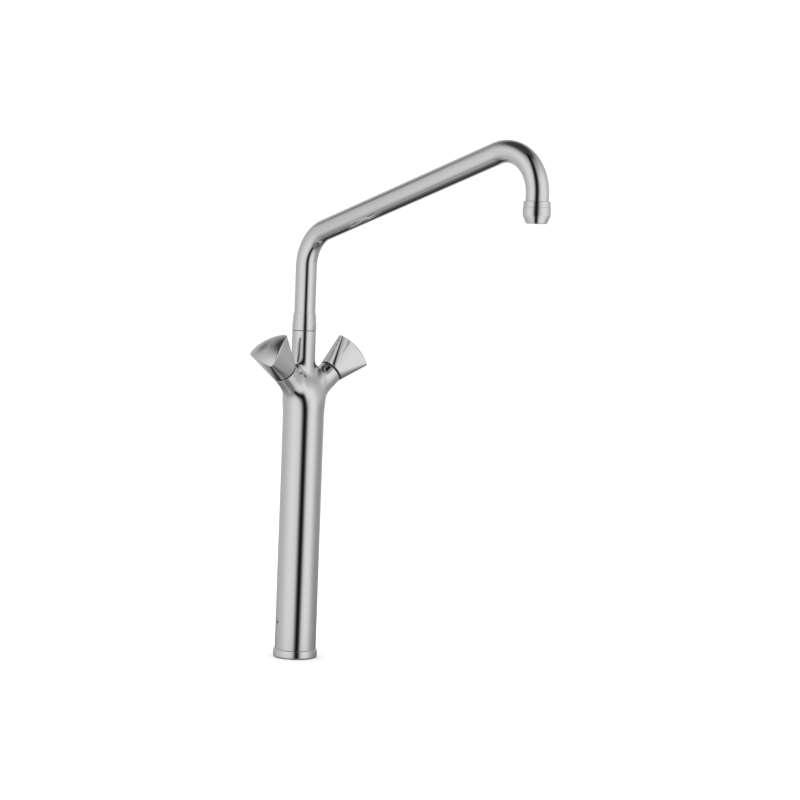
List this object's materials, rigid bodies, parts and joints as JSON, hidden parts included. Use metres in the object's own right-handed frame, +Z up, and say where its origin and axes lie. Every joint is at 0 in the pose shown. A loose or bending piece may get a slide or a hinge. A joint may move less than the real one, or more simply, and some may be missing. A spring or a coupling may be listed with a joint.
{
  "type": "two-handle basin mixer tap",
  "caption": "Tall two-handle basin mixer in bright chrome: slim column, two three-sided handles and a long swivel spout with an aerator.",
  "frame": {"origin": "centre of the foot's bore at the underside, on the column axis", "axes": "+Z up along the column, -Y towards the spout's outlet at rest, +X towards the cold handle"},
  "size_m": [0.139, 0.3505, 0.5344],
  "materials": {
    "chrome": "mirror polish, bright chrome over brass",
    "brass": "machined, bare",
    "copper": "drawn tube, bare copper, slightly dull",
    "rubber": "matt black",
    "black_plastic": "fine satin, moulded",
    "white_plastic": "satin, moulded",
    "ceramic": "lapped and glossy, very hard, near white",
    "steel": "plain stainless, fine machined"
  },
  "bodies": {
    "body": {"body_casting": "chrome", "base_ring": "chrome", "base_seal": "rubber", "anchor_block": "brass", "column_grub_screw": "steel", "supply_tube_seals": "rubber", "swivel_bush": "black_plastic", "spout_lock_screw": "steel", "hot_supply_tube": "copper", "cold_supply_tube": "copper", "hot_fixed_disc": "ceramic", "hot_seat_seal": "rubber", "hot_valve_housing": "brass", "hot_housing_washer": "rubber", "hot_shadow_ring": "black_plastic", "cold_fixed_disc": "ceramic", "cold_seat_seal": "rubber", "cold_valve_housing": "brass", "cold_housing_washer": "rubber", "cold_shadow_ring": "black_plastic"},
    "hot_handle": {"hot_knob": "chrome", "hot_handle_screw": "steel", "hot_index_cap": "chrome", "hot_spindle": "brass", "hot_stem_seal": "rubber", "hot_spindle_clip": "steel", "hot_moving_disc": "ceramic"},
    "cold_handle": {"cold_knob": "chrome", "cold_handle_screw": "steel", "cold_index_cap": "chrome", "cold_spindle": "brass", "cold_stem_seal": "rubber", "cold_spindle_clip": "steel", "cold_moving_disc": "ceramic"},
    "spout": {"spout_collar": "chrome", "spout_seals": "rubber", "spout_tube": "chrome", "spout_end_collar": "chrome", "aerator_housing": "chrome", "aerator_insert": "white_plastic", "aerator_washer": "rubber"}
  },
  "joints": [
    {"name": "hot_handle_turn", "type": "hinge", "parent": "body", "child": "hot_handle", "pos_m": [0, 0, 0.2707], "axis": [-0.7438, -0.0874, 0.6626], "range_deg": [0, 180]},
    {"name": "cold_handle_turn", "type": "hinge", "parent": "body", "child": "cold_handle", "pos_m": [0, 0, 0.2707], "axis": [0.7438, -0.0874, 0.6626], "range_deg": [0, 180]},
    {"name": "spout_swivel", "type": "hinge", "parent": "body", "child": "spout", "pos_m": [0, 0.0035, 0], "axis": [0, 0, 1], "continuous": true}
  ]
}
